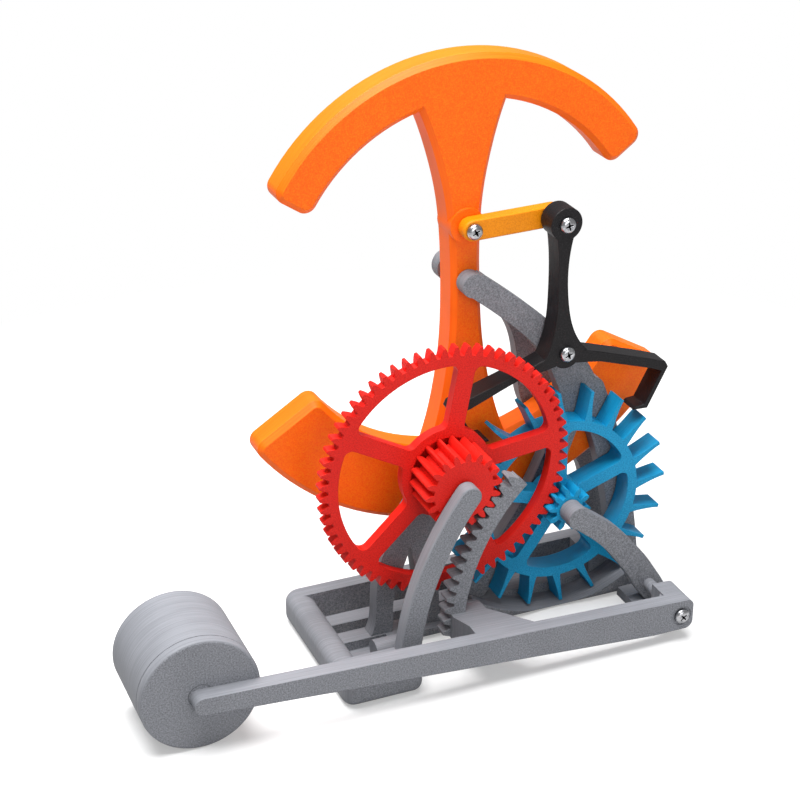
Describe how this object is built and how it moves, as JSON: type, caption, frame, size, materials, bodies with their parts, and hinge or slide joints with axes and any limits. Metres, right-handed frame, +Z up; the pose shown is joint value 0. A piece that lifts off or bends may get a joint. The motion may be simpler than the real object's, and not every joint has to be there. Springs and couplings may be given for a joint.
{
  "type": "escapement model",
  "caption": "Printed clock escapement with a weighted rack lever, drive gear, bladed escape wheel, pallet fork and a linked rocking balance.",
  "frame": {"origin": "on the underside of the base, under the drive gear's axis", "axes": "+Z up, +X from the weight towards the lever's pivot, +Y from the lever towards the balance"},
  "size_m": [0.2123, 0.0722, 0.205],
  "materials": {
    "grey_print": "matte, fine layer lines",
    "black_print": "matte, fine layer lines",
    "red_print": "matte, fine layer lines",
    "blue_print": "matte, fine layer lines",
    "orange_print": "satin, fine layer lines",
    "yellow_print": "satin, fine layer lines",
    "steel": "ground",
    "zinc": "zinc plated"
  },
  "bodies": {
    "base": {"base_frame": "grey_print", "drive_front_arm": "grey_print", "escape_front_arm": "grey_print", "drive_rear_support": "grey_print", "tall_front_support": "grey_print", "tall_rear_support": "grey_print", "drive_axle": "steel", "escape_axle": "steel", "balance_axle": "steel", "lever_screw": "zinc", "fork_screw": "zinc", "drive_arm_foot_screw": "zinc", "escape_arm_foot_screw": "zinc", "drive_rear_left_foot_screw": "zinc", "drive_rear_right_foot_screw": "zinc", "tall_front_left_foot_screw": "zinc", "tall_front_right_foot_screw": "zinc", "tall_rear_foot_screw": "zinc"},
    "lever": {"lever_arm": "grey_print", "weight_cap": "grey_print", "weight_drum": "grey_print", "weight_core": "steel"},
    "pinion": {"rack_pinion": "red_print"},
    "gear": {"drive_gear": "red_print"},
    "wheel": {"escape_wheel": "blue_print"},
    "fork": {"pallet_fork": "black_print", "fork_link_screw": "zinc"},
    "balance": {"balance": "orange_print", "balance_link_screw": "zinc"},
    "link": {"link": "yellow_print"}
  },
  "joints": [
    {"name": "lever_hinge", "type": "hinge", "parent": "base", "child": "lever", "pos_m": [0.0759, -0.031, 0.0102], "axis": [0, 1, 0], "range_deg": [0, 28]},
    {"name": "rack_pinion_spin", "type": "hinge", "parent": "base", "child": "pinion", "pos_m": [0, -0.013, 0.0665], "axis": [0, 1, 0], "range_deg": [-182.1, 0]},
    {"name": "drive_gear_spin", "type": "hinge", "parent": "base", "child": "gear", "pos_m": [0, -0.004, 0.0665], "axis": [0, 1, 0], "range_deg": [-0.45, 0.23]},
    {"name": "escape_wheel_spin", "type": "hinge", "parent": "base", "child": "wheel", "pos_m": [0.04636, 0.002, 0.04339], "axis": [0, 1, 0], "range_deg": [-1.5, 2.9]},
    {"name": "balance_rock", "type": "hinge", "parent": "base", "child": "balance", "pos_m": [0.0151, 0.018, 0.1274], "axis": [0, -1, 0], "range_deg": [-7, 20]},
    {"name": "fork_rock", "type": "hinge", "parent": "base", "child": "fork", "pos_m": [0.04636, 0.002, 0.1008], "axis": [0, -1, 0], "range_deg": [-2.93, 8.35]},
    {"name": "link_swing", "type": "hinge", "parent": "balance", "child": "link", "pos_m": [0.01455, 0.0095, 0.14719], "axis": [0, -1, 0], "range_deg": [-19.3, 6.8]}
  ],
  "couplings": [
    {"joint": "rack_pinion_spin", "follows": "lever_hinge", "ratio": -6.5},
    {"joint": "escape_wheel_spin", "follows": "drive_gear_spin", "ratio": -6.4},
    {"joint": "fork_rock", "follows": "balance_rock", "ratio": 0.4169},
    {"joint": "link_swing", "follows": "balance_rock", "ratio": -0.963}
  ]
}
